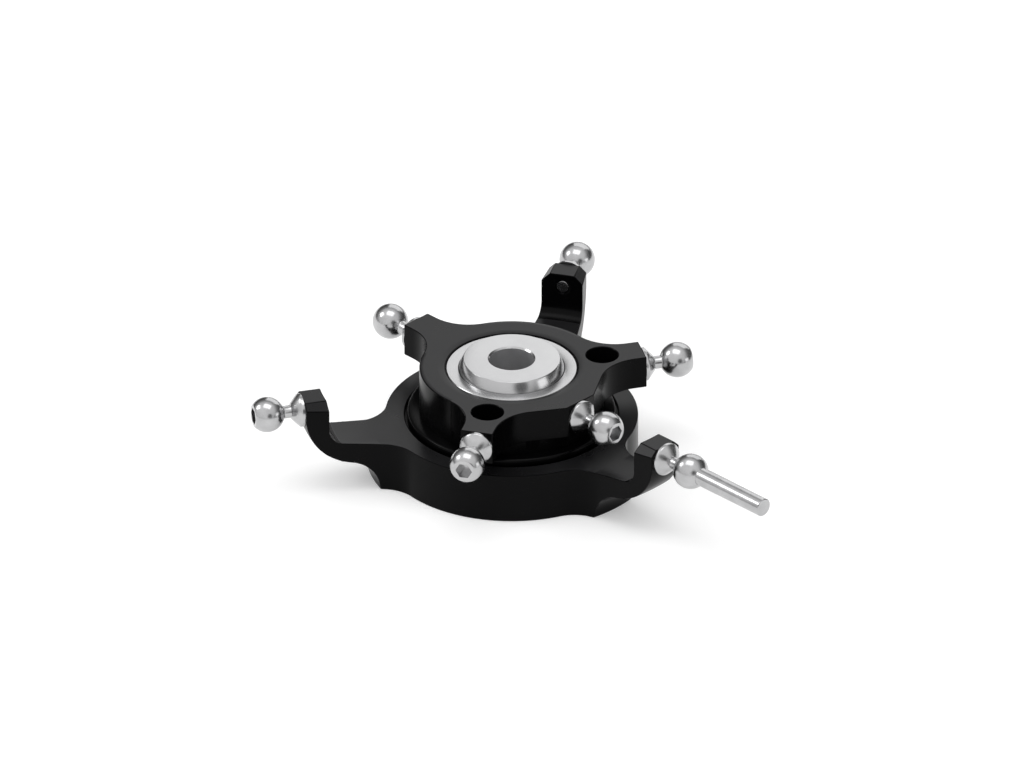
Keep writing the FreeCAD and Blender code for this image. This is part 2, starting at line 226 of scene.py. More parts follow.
# turns the mesh round the mast
def turnAbout(piece, degrees):
    pickOnly(piece)
    piece.rotation_euler[2] = math.radians(degrees)
    bpy.ops.object.transform_apply(location=False, rotation=True, scale=False)


def copyOf(piece, name):
    pickOnly(piece)
    bpy.ops.object.duplicate(linked=False)
    twin = bpy.context.object
    twin.name = twin.data.name = name
    return twin


# gives a finished piece its materials, its body and the node it stands for
def standFor(piece, node, finishes):
    piece.data.materials.clear()
    for finish in finishes:
        piece.data.materials.append(finish)
    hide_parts(node)
    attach(piece, cadNodes[node]["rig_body"])


def lookAt(thing, place, target):
    thing.location = place
    thing.rotation_euler = (target - place).to_track_quat("-Z", "Y").to_euler()


shot = {"azimuth": -45, "elevation": 30, "width": 137.45, "right": 0.054, "up": -0.309,
        "distance": 1200, "nearest": 10, "farthest": 10000}


def setUpCamera():
    turn, tilt = math.radians(shot["azimuth"]), math.radians(shot["elevation"])
    level = Vector((math.sin(turn), -math.cos(turn), 0))
    back = level * math.cos(tilt) + Vector((0, 0, math.sin(tilt)))
    right = Vector((math.cos(turn), math.sin(turn), 0))
    up = back.cross(right)
    target = (right * shot["right"] + up * shot["up"]) * mm
    clearSelection()
    bpy.ops.object.camera_add()
    camera = bpy.context.object
    camera.name = "studioCamera"
    camera.data.type = "ORTHO"
    camera.data.ortho_scale = shot["width"] * mm
    camera.data.clip_start, camera.data.clip_end = shot["nearest"] * mm, shot["farthest"] * mm
    lookAt(camera, target + back * shot["distance"] * mm, target)
    bpy.context.scene.camera = camera


# a node with its sockets and settings filled in
def addNode(tree, kind, **values):
    made = tree.nodes.new("ShaderNode" + kind)
    for key, value in values.items():
        if hasattr(made, key):
            setattr(made, key, value)
        else:
            made.inputs[key.replace("_", " ")].default_value = value
    return made


def newFinish(name):
    finish = bpy.data.materials.new(name)
    finish.use_nodes = True
    tree = finish.node_tree
    tree.nodes.clear()
    return finish, tree


studio = {"floorSize": 3.0,  # metres
          "floorGap": 0.02, "floorTone": 0.80, "floorGlow": 0.30,
          "airAxis": (-0.55, -0.25, 0.80),  # the air is bright this way and dark the other way
          "air": ((0.45, 0.10), (0.60, 0.28), (0.76, 0.92), (1.0, 1.05)),  # place along it and tone
          "gap": (-0.394, -0.870, 0.297),  # the way to a darker patch, with the cosines of its edges
          "gapInner": 0.985, "gapOuter": 0.945, "gapShade": 0.85}
softboxes = {  # place in metres, size in metres, radiance
    "keyBox": ((-0.04, -0.02, 0.40), (0.30, 0.20), 1.8),
    "rearBox": ((0.2115, 0.1063, 0.1297), (0.24, 0.20), 1.25),
    "leftBox": ((-0.22, 0.29, 0.29), (0.14, 0.14), 5.0),
    "sideBox": ((0.17, -0.36, 0.07), (0.16, 0.12), 1.5),
}


def setUpFloor():
    clearSelection()
    bpy.ops.mesh.primitive_plane_add(size=studio["floorSize"],
                                     location=(0, 0, cadLow.z - studio["floorGap"] * mm))
    floor = bpy.context.object
    floor.name = floor.data.name = "studioFloor"
    bpy.ops.object.transform_apply(location=True)
    finish, tree = newFinish("paleFloor")
    tone = studio["floorTone"]
    paint = addNode(tree, "BsdfDiffuse", Color=(tone, tone, tone, 1))
    glow = addNode(tree, "Emission", Color=(1, 1, 1, 1), Strength=studio["floorGlow"])
    path = addNode(tree, "LightPath")
    seen = addNode(tree, "Math", operation="ADD", use_clamp=True)
    through = addNode(tree, "Math", operation="ADD", use_clamp=True)
    both = addNode(tree, "AddShader")
    clear = addNode(tree, "BsdfTransparent")
    side = addNode(tree, "NewGeometry")
    lit = addNode(tree, "MixShader")
    oneSided = addNode(tree, "MixShader")  # clear from below, so the underside can be looked at
    out = addNode(tree, "OutputMaterial")
    link = tree.links.new
    link(path.outputs["Is Camera Ray"], seen.inputs[0])
    link(path.outputs["Is Glossy Ray"], seen.inputs[1])
    link(seen.outputs[0], through.inputs[0])
    link(path.outputs["Is Transmission Ray"], through.inputs[1])
    link(paint.outputs[0], both.inputs[0])
    link(glow.outputs[0], both.inputs[1])
    link(through.outputs[0], lit.inputs[0])
    link(paint.outputs[0], lit.inputs[1])
    link(both.outputs[0], lit.inputs[2])
    link(side.outputs["Backfacing"], oneSided.inputs[0])
    link(lit.outputs[0], oneSided.inputs[1])
    link(clear.outputs[0], oneSided.inputs[2])
    link(oneSided.outputs[0], out.inputs["Surface"])
    floor.data.materials.append(finish)


def setUpSoftboxes():
    for name, (place, size, radiance) in softboxes.items():
        clearSelection()
        bpy.ops.object.light_add(type="AREA")
        lamp = bpy.context.object
        lamp.name = name
        lamp.data.shape = "RECTANGLE"
        lamp.data.size, lamp.data.size_y = size
        lamp.data.energy = radiance * math.pi * size[0] * size[1]
        lamp.visible_camera = False
        lookAt(lamp, Vector(place), Vector((0, 0, 0)))


# how far the looked-up direction points this way, from -1 to 1
def leanToward(tree, direction, way):
    lean = addNode(tree, "VectorMath", operation="DOT_PRODUCT")
    lean.inputs[1].default_value = Vector(way).normalized()
    tree.links.new(direction.outputs["Generated"], lean.inputs[0])
    return lean.outputs["Value"]


def setUpAir():
    world = bpy.data.worlds.new("studioAir")
    bpy.context.scene.world = world
    world.use_nodes = True
    tree = world.node_tree
    link = tree.links.new
    direction = addNode(tree, "TexCoord")
    height = addNode(tree, "MapRange", From_Min=-1.0, From_Max=1.0)
    link(leanToward(tree, direction, studio["airAxis"]), height.inputs["Value"])
    tones = addNode(tree, "ValToRGB")
    stops = tones.color_ramp.elements
    while len(stops) < len(studio["air"]):
        stops.new(0.5)
    for stop, (position, tone) in zip(stops, studio["air"]):
        stop.position, stop.color = position, (tone, tone, tone, 1)
    link(height.outputs["Result"], tones.inputs["Fac"])
    link(tones.outputs["Color"], tree.nodes["Background"].inputs["Color"])
    strength = addNode(tree, "MapRange", interpolation_type="SMOOTHSTEP",
                       From_Min=studio["gapOuter"], From_Max=studio["gapInner"],
                       To_Min=1.0, To_Max=1.0 - studio["gapShade"])
    link(leanToward(tree, direction, studio["gap"]), strength.inputs["Value"])
    link(strength.outputs["Result"], tree.nodes["Background"].inputs["Strength"])


setUpCamera()
setUpFloor()
setUpSoftboxes()
setUpAir()
bpy.context.scene.view_settings.view_transform = "Standard"
print("studio ready")


# one number that grows along a turned surface: distance from the axis plus distance along it
def latheCoordinate(tree, attribute=None):
    link = tree.links.new
    if attribute:
        source = addNode(tree, "Attribute", attribute_name=attribute).outputs["Vector"]
    else:
        source = addNode(tree, "TexCoord").outputs["Object"]
    parts = addNode(tree, "SeparateXYZ")
    link(source, parts.inputs[0])
    flat = addNode(tree, "CombineXYZ")
    link(parts.outputs["X"], flat.inputs["X"])
    link(parts.outputs["Y"], flat.inputs["Y"])
    reach = addNode(tree, "VectorMath", operation="LENGTH")
    link(flat.outputs[0], reach.inputs[0])
    total = addNode(tree, "Math", operation="ADD")
    link(reach.outputs["Value"], total.inputs[0])
    link(parts.outputs["Z"], total.inputs[1])
    return source, total.outputs[0]


def noiseIn(tree, place, size, detail, roughness=0.5):
    noise = addNode(tree, "TexNoise", Scale=1000 / size, Detail=detail, Roughness=roughness)
    tree.links.new(place, noise.inputs["Vector"])
    return noise.outputs["Fac"]


# cutter marks this far apart along a turned surface
def cutterRings(tree, along, pitch, detail, roughness=0.5):
    scaled = addNode(tree, "Math", operation="MULTIPLY")
    scaled.inputs[1].default_value = 1000 / pitch
    tree.links.new(along, scaled.inputs[0])
    rings = addNode(tree, "TexNoise", noise_dimensions="1D", Scale=1.0, Detail=detail, Roughness=roughness)
    tree.links.new(scaled.outputs[0], rings.inputs["W"])
    return rings.outputs["Fac"]


# first times share, plus second
def mixed(tree, first, share, second):
    total = addNode(tree, "Math", operation="MULTIPLY_ADD")
    total.inputs[1].default_value = share
    tree.links.new(first, total.inputs[0])
    tree.links.new(second, total.inputs[2])
    return total.outputs[0]


def halved(tree, value):
    half = addNode(tree, "Math", operation="MULTIPLY")
    half.inputs[1].default_value = 0.5
    tree.links.new(value, half.inputs[0])
    return half.outputs[0]


# the look's dark and light tones where the noise is low and high
def toneRamp(tree, noise, look, low=0.3, high=0.75):
    ramp = addNode(tree, "ValToRGB")
    for stop, place, tone in zip(ramp.color_ramp.elements, (low, high), (look["dark"], look["light"])):
        stop.position, stop.color = place, tone + (1,)
    tree.links.new(noise, ramp.inputs["Fac"])
    return ramp.outputs["Color"]


# a roughness that wanders about the look's own
def sheen(tree, noise, look, low=0.3, high=0.7):
    gloss = addNode(tree, "MapRange", From_Min=low, From_Max=high,
                    To_Min=look["roughness"] - look["roughnessSpread"],
                    To_Max=look["roughness"] + look["roughnessSpread"])
    tree.links.new(noise, gloss.inputs["Value"])
    return gloss.outputs["Result"]


def joinSurface(tree, colour, roughness, **values):
    surface = addNode(tree, "BsdfPrincipled", **values)
    tree.links.new(colour, surface.inputs["Base Color"])
    tree.links.new(roughness, surface.inputs["Roughness"])
    out = addNode(tree, "OutputMaterial")
    tree.links.new(surface.outputs[0], out.inputs["Surface"])
    return surface


def engrave(tree, surface, marks, strength):
    bump = addNode(tree, "Bump", Strength=strength, Distance=marksDepth * mm)
    tree.links.new(marks, bump.inputs["Height"])
    tree.links.new(bump.outputs["Normal"], surface.inputs["Normal"])


# bare metal off the lathe: fine rings, a slow change of sheen and small handling smudges
def machinedMetal(name, look, attribute=None):
    finish, tree = newFinish(name)
    place, along = latheCoordinate(tree, attribute)
    rings = cutterRings(tree, along, look["ringPitch"], detail=3.0, roughness=0.6)
    clouds = noiseIn(tree, place, look["cloudSize"], detail=3.0, roughness=0.55)
    average = mixed(tree, rings, 0.5, halved(tree, clouds))
    metal = joinSurface(tree, toneRamp(tree, clouds, look), sheen(tree, average, look), Metallic=1.0)
    engrave(tree, metal, rings, look["ringBump"])
    return finish


# black anodised aluminium: satin skin over cutter marks, slightly uneven dye
def anodised(name, look):
    finish, tree = newFinish(name)
    place, along = latheCoordinate(tree)
    grain = noiseIn(tree, place, look["grainSize"], detail=2.0)
    dye = noiseIn(tree, place, look["dyeSize"], detail=4.0, roughness=0.6)
    rings = cutterRings(tree, along, look["ringPitch"], detail=2.0)
    skin = joinSurface(tree, toneRamp(tree, dye, look), sheen(tree, dye, look), IOR=look["ior"])
    engrave(tree, skin, mixed(tree, rings, look["ringShare"], grain), look["bump"])
    return finish


# smooth nylon with a slightly mottled tone and sheen
def mouldedNylon(name, look):
    finish, tree = newFinish(name)
    place = addNode(tree, "TexCoord").outputs["Object"]
    mottle = noiseIn(tree, place, look["mottleSize"], detail=3.0)
    joinSurface(tree, toneRamp(tree, mottle, look, 0, 1), sheen(tree, mottle, look, 0, 1))
    return finish


marksDepth = 0.01  # grain, ring, dye, cloud and mottle sizes are in millimetres too
blackLook = {"dark": (0.0008, 0.0008, 0.0009), "light": (0.0020, 0.0020, 0.0022), "grainSize": 0.12,
             "dyeSize": 9.0, "ringPitch": 0.09, "ringShare": 0.8, "bump": 0.05,
             "roughness": 0.24, "roughnessSpread": 0.04, "ior": 1.16}
# a lighter copy of the black anodised for level tops and large lug corners: painted light, these faces
# drawn lighter where they catch the light
paintedLitLook = {"dark": (0.008, 0.008, 0.0085), "light": (0.014, 0.014, 0.0148), "grainSize": 0.10,
             "dyeSize": 7.0, "ringPitch": 0.16, "ringShare": 1.0, "bump": 0.05,
             "roughness": 0.30, "roughnessSpread": 0.04, "ior": 1.25}
ballLook = {"dark": (0.46, 0.46, 0.465), "light": (0.52, 0.52, 0.525), "ringPitch": 0.07, "cloudSize": 6.0,
            "roughness": 0.20, "roughnessSpread": 0.04, "ringBump": 0.12}
# rougher and lighter than the ball: the rougher finish is real, the lighter tone is painted light inside
# the bore
litBoreLook = {"dark": (0.52, 0.52, 0.53), "light": (0.62, 0.62, 0.63), "ringPitch": 0.10, "cloudSize": 3.0,
            "roughness": 0.52, "roughnessSpread": 0.06, "ringBump": 0.15}
ringLook = {"dark": (0.44, 0.44, 0.445), "light": (0.51, 0.51, 0.515), "ringPitch": 0.06, "cloudSize": 8.0,
            "roughness": 0.27, "roughnessSpread": 0.04, "ringBump": 0.15}
studLook = {"dark": (0.42, 0.42, 0.425), "light": (0.52, 0.52, 0.525), "ringPitch": 0.08, "cloudSize": 2.0,
            "roughness": 0.21, "roughnessSpread": 0.05, "ringBump": 0.10}
raceLook = {"dark": (0.55, 0.55, 0.56), "light": (0.64, 0.64, 0.65), "ringPitch": 0.05, "cloudSize": 4.0,
            "roughness": 0.18, "roughnessSpread": 0.05, "ringBump": 0.2}
shieldLook = {"dark": (0.50, 0.50, 0.50), "light": (0.60, 0.60, 0.60), "ringPitch": 0.12, "cloudSize": 3.0,
              "roughness": 0.32, "roughnessSpread": 0.06, "ringBump": 0.3}
clipLook = {"dark": (0.045, 0.045, 0.05), "light": (0.09, 0.09, 0.10), "ringPitch": 0.2, "cloudSize": 1.5,
            "roughness": 0.34, "roughnessSpread": 0.08, "ringBump": 0.2}
linerLook = {"dark": (0.72, 0.72, 0.70), "light": (0.80, 0.80, 0.79), "mottleSize": 1.5,
             "roughness": 0.42, "roughnessSpread": 0.06}
cageLook = {"dark": (0.50, 0.44, 0.34), "light": (0.62, 0.56, 0.45), "mottleSize": 1.0,
            "roughness": 0.45, "roughnessSpread": 0.06}

blackAnodised = anodised("blackAnodised", blackLook)
# the lighter copy of the black: painted light on the tops and lug corners
blackPaintedLit = anodised("blackPaintedLit", paintedLitLook)
polishedBall = machinedMetal("polishedBall", ballLook)
# steel for the bore: real added roughness, and a lighter tone that is painted light in the recess
litBoreSteel = machinedMetal("litBoreSteel", litBoreLook)
turnedRing = machinedMetal("turnedRing", ringLook)
studSteel = machinedMetal("studSteel", studLook, attribute="lathe")
raceSteel = machinedMetal("raceSteel", raceLook)
shieldSteel = machinedMetal("shieldSteel", shieldLook)
springSteel = machinedMetal("springSteel", clipLook)
whiteNylon = mouldedNylon("whiteNylon", linerLook)
cageNylon = mouldedNylon("cageNylon", cageLook)
print("finishes ready")


pivotSizes = {"bore": 3.0, "radius": 7.43, "halfHeight": 3.63, "boreChamfer": 0.2, "rimRound": 0.05,
              "arcSteps": 48, "turnSteps": 256}


def makePivotBall():
    sizes = pivotSizes
    rim = math.sqrt(sizes["radius"] ** 2 - sizes["halfHeight"] ** 2)
    low, high = -sizes["halfHeight"], sizes["halfHeight"]
    ball = drawOutline("pivotBall", (sizes["bore"], low), [
        ("line", (rim, low)),
        arcBetween((rim, low), (rim, high), (0, 0), sizes["arcSteps"]),
        ("line", (sizes["bore"], high)), ("line", (sizes["bore"], low))])
    roundOutline(ball, [(sizes["bore"], low), (sizes["bore"], high)], sizes["boreChamfer"], 1)
    roundOutline(ball, [(rim, low), (rim, high)], sizes["rimRound"], 3)
    spinClosed(sizes["turnSteps"])
    smoothFinish(ball)
    standFor(ball, "pivot_ball", [polishedBall, litBoreSteel])

    def isBore(face):
        middle = face.calc_center_median() / mm
        return math.hypot(middle.x, middle.y) < sizes["bore"] + meshCare["near"]
    # the bore takes the rougher, lighter steel: partly painted light
    paintWhere(ball, 1, isBore)


raceSizes = {"sphere": 7.50, "outer": 8.86, "upper": 2.19, "lower": -2.6, "chamfer": 0.15,
             "rimRound": 0.05, "arcSteps": 14, "turnSteps": 256}


def makeRaceRing(name, node, height):
    sizes = raceSizes
    rim = math.sqrt(sizes["sphere"] ** 2 - height ** 2)
    ring = drawOutline(name, (sizes["sphere"], 0), [
        ("line", (sizes["outer"], 0)), ("line", (sizes["outer"], height)), ("line", (rim, height)),
        arcBetween((rim, height), (sizes["sphere"], 0), (0, 0), sizes["arcSteps"])])
    roundOutline(ring, [(sizes["outer"], height)], sizes["chamfer"], 1)
    roundOutline(ring, [(rim, height)], sizes["rimRound"], 2)
    spinClosed(sizes["turnSteps"])
    smoothFinish(ring)
    standFor(ring, node, [turnedRing])


makePivotBall()
makeRaceRing("upperRaceRing", "race_ring_upper", raceSizes["upper"])
makeRaceRing("lowerRaceRing", "race_ring_lower", raceSizes["lower"])
print("pivot ball and race rings done")


def aroundMast(point, degrees):
    return swung(point, (0, 0), degrees)


# plan of an arm that runs into a round core, from its right root round to its left root
def armMoves(degrees, end, halfWidth, slope, core, blend, steps):
    long = math.hypot(1, slope)
    rise = halfWidth + slope * end + blend * long
    root = math.sqrt((long * (core + blend)) ** 2 - rise ** 2)
    centre = ((rise * slope + root) / long ** 2, (rise - root * slope) / long ** 2)
    onFlank = (centre[0] - blend * slope / long, centre[1] - blend / long)
    onCore = (centre[0] * core / (core + blend), centre[1] * core / (core + blend))

    def put(point, side=1):
        return aroundMast((point[0], side * point[1]), degrees)
    return {
        "start": put(onCore, -1),
        "moves": [arcBetween(put(onCore, -1), put(onFlank, -1), put(centre, -1), steps),
                  ("line", put((end, -halfWidth))), ("line", put((end, halfWidth))),
                  ("line", put(onFlank)),
                  arcBetween(put(onFlank), put(onCore), put(centre), steps)],
        "end": put(onCore)}


# one closed walk round all limbs, with arcs about the mast between them, on the core itself or,
# where inward is less than 1, inside it
def joinLimbs(limbs, stepDegrees, inward=1):
    moves = []
    for index, limb in enumerate(limbs):
        here, there = limb["end"], limbs[(index + 1) % len(limbs)]["start"]
        gap = math.degrees(math.atan2(there[1], there[0]) - math.atan2(here[1], here[0])) % 360
        moves += limb["moves"]
        if gap < stepDegrees:
            moves.append(("line", there))
            continue
        if inward < 1:
            moves.append(("line", (here[0] * inward, here[1] * inward)))
        moves.append(("arc", (0, 0), gap, round(gap / stepDegrees)))
        if inward < 1:
            moves.append(("line", there))
    return limbs[0]["start"], moves


# fills the outline that is being drawn and pulls it out into a solid
def raiseSlab(height, way=(0, 0, 1)):
    bpy.ops.mesh.select_all(action="SELECT")
    bpy.ops.mesh.edge_face_add()
    bpy.ops.mesh.extrude_region_move(TRANSFORM_OT_translate={"value": Vector(way) * height * mm})
    closeShell()


# breaks the outer edges that turn by more than this many degrees
def softenEdges(piece, offset, segments, sharper, wanted=None):
    editAll(piece)

    def isEdge(edge):
        if len(edge.link_faces) != 2 or math.degrees(edge.calc_face_angle(0)) < sharper:
            return False
        middle = (edge.verts[0].co + edge.verts[1].co) / 2 / mm
        return edge.is_convex and (wanted is None or wanted(middle))
    selectWhere(piece, "edges", isEdge)
    bpy.ops.mesh.bevel(affect="EDGES", offset=offset * mm, segments=segments, profile=0.5,
                       clamp_overlap=False)
    bpy.ops.object.mode_set(mode="OBJECT")


plateSizes = {"top": 2.3, "bottom": -2.3, "hubRadius": 12.40, "bore": 8.90, "throat": 7.30,
              "armEnd": 18.2, "armHalfWidth": 2.25, "armBlend": 6.2, "armAngles": (90, 210, 330),
              "bossAngle": 270, "bossEnd": 13.1, "bossHalfWidth": 2.57, "edge": 0.15,
              "pocketRadius": 2.18, "pocketCircle": 12.58, "pocketDepth": 3.6, "pocketEdge": 0.1,
              "pocketAngles": (210, 330), "flangeTop": -4.1, "flangeBottom": -5.0, "flangeRadius": 14.0,
              "flangeEdge": 0.35, "shoulder": 11.15, "bearingTop": -6.1, "bearingBottom": -10.1,
              "neck": 9.98, "groove": 9.48, "grooveBottom": -10.72, "neckBottom": -11.37,
              "ledge": -2.6, "fineEdge": 0.06, "screwHole": 1.02, "screwDepth": 3.0,
              "slabOverlap": 0.5, "openingRadius": 10.05, "openingDepth": 12.0, "pocketFloorEdge": 0.2,
              "blendSteps": 20, "arcDegrees": 3, "turnSteps": 256, "pocketSteps": 96, "holeSteps": 48,
              "sharpAbove": 35, "cutMerge": 0.003, "paintedLitDepth": 0.2}


def makeHub():
    sizes = plateSizes
    hub = drawOutline("rotatingPlate", (sizes["bore"], sizes["top"]), [
        ("line", point) for point in (
            (sizes["hubRadius"], sizes["top"]), (sizes["hubRadius"], sizes["flangeTop"]),
            (sizes["flangeRadius"], sizes["flangeTop"]), (sizes["flangeRadius"], sizes["flangeBottom"]),
            (sizes["shoulder"], sizes["flangeBottom"]), (sizes["shoulder"], sizes["bearingTop"]),
            (sizes["neck"], sizes["bearingTop"]), (sizes["neck"], sizes["bearingBottom"]),
            (sizes["groove"], sizes["bearingBottom"]), (sizes["groove"], sizes["grooveBottom"]),
            (sizes["neck"], sizes["grooveBottom"]), (sizes["neck"], sizes["neckBottom"]),
            (sizes["throat"], sizes["neckBottom"]), (sizes["throat"], sizes["ledge"]),
            (sizes["bore"], sizes["ledge"]), (sizes["bore"], sizes["top"]))])
    roundOutline(hub, [(sizes["flangeRadius"], sizes["flangeTop"])], sizes["flangeEdge"], 3)
    roundOutline(hub, [(sizes["bore"], sizes["top"]), (sizes["hubRadius"], sizes["top"]),
                       (sizes["neck"], sizes["neckBottom"]), (sizes["throat"], sizes["neckBottom"])],
                 sizes["edge"], 2)
    roundOutline(hub, [(sizes["flangeRadius"], sizes["flangeBottom"])], sizes["fineEdge"], 1)
    spinClosed(sizes["turnSteps"])
    return hub


def bossLimb():
    sizes = plateSizes
    end, half, core = sizes["bossEnd"], sizes["bossHalfWidth"], sizes["hubRadius"]
    reach = math.atan2(half, end) + math.acos(core / math.hypot(end, half))
    root = (core * math.cos(reach), core * math.sin(reach))
    turn = sizes["bossAngle"]
    return {"start": aroundMast((root[0], -root[1]), turn),
            "moves": [("line", aroundMast((end, -half), turn)), ("line", aroundMast((end, half), turn)),
                      ("line", aroundMast(root, turn))],
            "end": aroundMast(root, turn)}


# the flat plate with its arms; it ends a little inside the hub's wall, so that the two unite cleanly
def makeSlab():
    sizes = plateSizes
    limbs = {turn: armMoves(turn, sizes["armEnd"], sizes["armHalfWidth"], 0, sizes["hubRadius"],
                            sizes["armBlend"], sizes["blendSteps"]) for turn in sizes["armAngles"]}
    limbs[sizes["bossAngle"]] = bossLimb()
    start, moves = joinLimbs([limbs[turn] for turn in sorted(limbs)], sizes["arcDegrees"],
                             1 - sizes["slabOverlap"] / sizes["hubRadius"])
    slab = drawOutline("plateSlab", start, moves, "xy", sizes["bottom"])
    raiseSlab(sizes["top"] - sizes["bottom"])
    softenEdges(slab, sizes["edge"], 2, sizes["sharpAbove"])
    return slab


def roundBar(name, radius, place, depth, sides, axis="z", turn=0):
    clearSelection()
    tilt = (0, math.pi / 2, 0) if axis == "x" else (0, 0, 0)
    bpy.ops.mesh.primitive_cylinder_add(vertices=sides, radius=radius * mm, depth=depth * mm,
                                        location=Vector(place) * mm, rotation=tilt)
    bar = bpy.context.object
    bar.name = name
    bpy.ops.object.transform_apply(location=True, rotation=True)
    turnAbout(bar, turn)
    return bar


# a drill with a flared top, so that the pocket's rim comes out broken
def pocketCutter(turn):
    sizes = plateSizes
    low = sizes["top"] - sizes["pocketDepth"]
    floorEdge, flare = sizes["pocketFloorEdge"], sizes["pocketEdge"]
    cutter = drawOutline("pocketCutter", (0, low), [
        ("line", (sizes["pocketRadius"] - floorEdge, low)),
        ("line", (sizes["pocketRadius"], low + floorEdge)),
        ("line", (sizes["pocketRadius"], sizes["top"] - flare)),
        ("line", (sizes["pocketRadius"] + 2 * flare, sizes["top"] + flare)),
        ("line", (0, sizes["top"] + flare)), ("line", (0, low))])
    spinClosed(sizes["pocketSteps"])
    moveBy(cutter, (sizes["pocketCircle"], 0, 0))
    turnAbout(cutter, turn)
    return cutter


def makeRotatingPlate():
    sizes = plateSizes
    plate = makeHub()
    slab = makeSlab()
    opening = roundBar("opening", sizes["openingRadius"], (0, 0, 0), sizes["openingDepth"],
                       sizes["turnSteps"])
    combine(slab, opening, "DIFFERENCE")
    combine(plate, slab, "UNION")
    for turn in sizes["pocketAngles"]:
        combine(plate, pocketCutter(turn), "DIFFERENCE")
    seats = [(sizes["armEnd"], turn) for turn in sizes["armAngles"]]
    seats.append((sizes["bossEnd"], sizes["bossAngle"]))
    beyond = meshCare["cutBeyond"]
    for seat, turn in seats:
        hole = roundBar("screwHole", sizes["screwHole"], (seat + (beyond - sizes["screwDepth"]) / 2, 0, 0),
                        sizes["screwDepth"] + beyond, sizes["holeSteps"], "x", turn)
        combine(plate, hole, "DIFFERENCE")
    editAll(plate)
    bpy.ops.mesh.remove_doubles(threshold=sizes["cutMerge"] * mm)
    bpy.ops.object.mode_set(mode="OBJECT")
    smoothFinish(plate, weight=100)
    standFor(plate, "rotating_plate", [blackAnodised, blackPaintedLit])
    # the level tops take the lighter copy of the black: painted light
    paintWhere(plate, 1, lambda face: isPaintedLitTop(face, sizes["top"] - sizes["paintedLitDepth"]))


makeRotatingPlate()
print("rotating plate done")


bodySizes = {"radius": 17.0, "top": -4.9, "bottom": -11.87, "counterbore": 14.35, "lipTop": -5.3,
             "lipRadius": 12.7, "bearingTop": -6.1, "bearingBottom": -10.1, "grooveBottom": -10.72,
             "bore": 13.52, "groove": 14.02, "edge": 0.15, "angles": (30, 150, 270),
             "tipHalfWidth": 2.6, "taper": 5.1, "blend": 5.0, "lugInner": 26.2, "lugOuter": 29.2,
             "lugTop": 1.95, "lugTopHalfWidth": 1.7, "rise": 6.8, "footReach": 19.45, "innerCurve": 2.0,
             "elbow": 7.3, "elbowDrop": 0.2, "screwHole": 1.02, "holeLength": 8.0, "lipEdge": 0.05,
             "softEdge": 0.13, "softFrom": 14.55,  # edges nearer the mast are broken in the turning
             "wedgeReach": 6.0, "wedgeLength": 8.0, "wedgeSetBack": 1.4,
             "elbowSteps": 22, "footSteps": 16, "curveSteps": 14, "blendSteps": 18, "holeSteps": 48,
             "arcDegrees": 2, "turnSteps": 360, "sharpAbove": 38, "flatWithin": 0.3,
             "cutMerge": 0.02, "paintedLitDepth": 0.2, "cornerWithin": 0.02, "cornerArea": 2.0}


# back of the lug, round the elbow and down into the foot, all turned round the mast
def undersideMoves(rim):
    sizes = bodySizes
    elbow, drop = sizes["elbow"], sizes["elbowDrop"]
    elbowCentre = (rim - elbow, -drop)
    across, down = elbowCentre[0] - sizes["footReach"], elbowCentre[1] - sizes["bottom"]
    sweep = (across ** 2 + down ** 2 - elbow ** 2) / (2 * (elbow + across))
    footCentre = (sizes["footReach"] + sweep, sizes["bottom"])
    share = elbow / (elbow + sweep)
    meet = (elbowCentre[0] + share * (footCentre[0] - elbowCentre[0]),
            elbowCentre[1] + share * (footCentre[1] - elbowCentre[1]))
    back, foot = (rim, -drop), (sizes["footReach"], sizes["bottom"])
    return [("line", back), arcBetween(back, meet, elbowCentre, sizes["elbowSteps"]),
            arcBetween(meet, foot, footCentre, sizes["footSteps"])]


# sloping top of the arm and the curve up into the lug
def topMoves():
    sizes = bodySizes
    slope = math.tan(math.radians(sizes["rise"]))
    long, curve = math.hypot(1, slope), sizes["innerCurve"]
    centreOut = sizes["lugInner"] - curve
    centreUp = sizes["top"] + slope * (centreOut - sizes["footReach"]) + curve * long
    centre = (centreOut, centreUp)
    low = (centreOut + curve * slope / long, centreUp - curve / long)
    high = (sizes["lugInner"], centreUp)
    return [("line", (sizes["footReach"], sizes["top"])), ("line", low),
            arcBetween(low, high, centre, sizes["curveSteps"]),
            ("line", (sizes["lugInner"], sizes["lugTop"]))]


def makeBodyBlank():
    sizes = bodySizes
    rim = math.hypot(sizes["lugOuter"], sizes["tipHalfWidth"])
    blank = drawOutline("stationaryPlate", (sizes["lipRadius"], sizes["lipTop"]), [
        ("line", (sizes["counterbore"], sizes["lipTop"])), ("line", (sizes["counterbore"], sizes["top"]))]
        + topMoves() + [("line", (rim, sizes["lugTop"]))] + undersideMoves(rim) + [
        ("line", point) for point in (
            (sizes["bore"], sizes["bottom"]), (sizes["bore"], sizes["grooveBottom"]),
            (sizes["groove"], sizes["grooveBottom"]), (sizes["groove"], sizes["bearingBottom"]),
            (sizes["bore"], sizes["bearingBottom"]), (sizes["bore"], sizes["bearingTop"]),
            (sizes["lipRadius"], sizes["bearingTop"]), (sizes["lipRadius"], sizes["lipTop"]))])
    roundOutline(blank, [(sizes["counterbore"], sizes["top"]), (sizes["bore"], sizes["bottom"])],
                 sizes["edge"], 2)
    roundOutline(blank, [(sizes["lipRadius"], sizes["lipTop"]), (sizes["lipRadius"], sizes["bearingTop"])],
                 sizes["lipEdge"], 1)
    spinClosed(sizes["turnSteps"])
    return blank


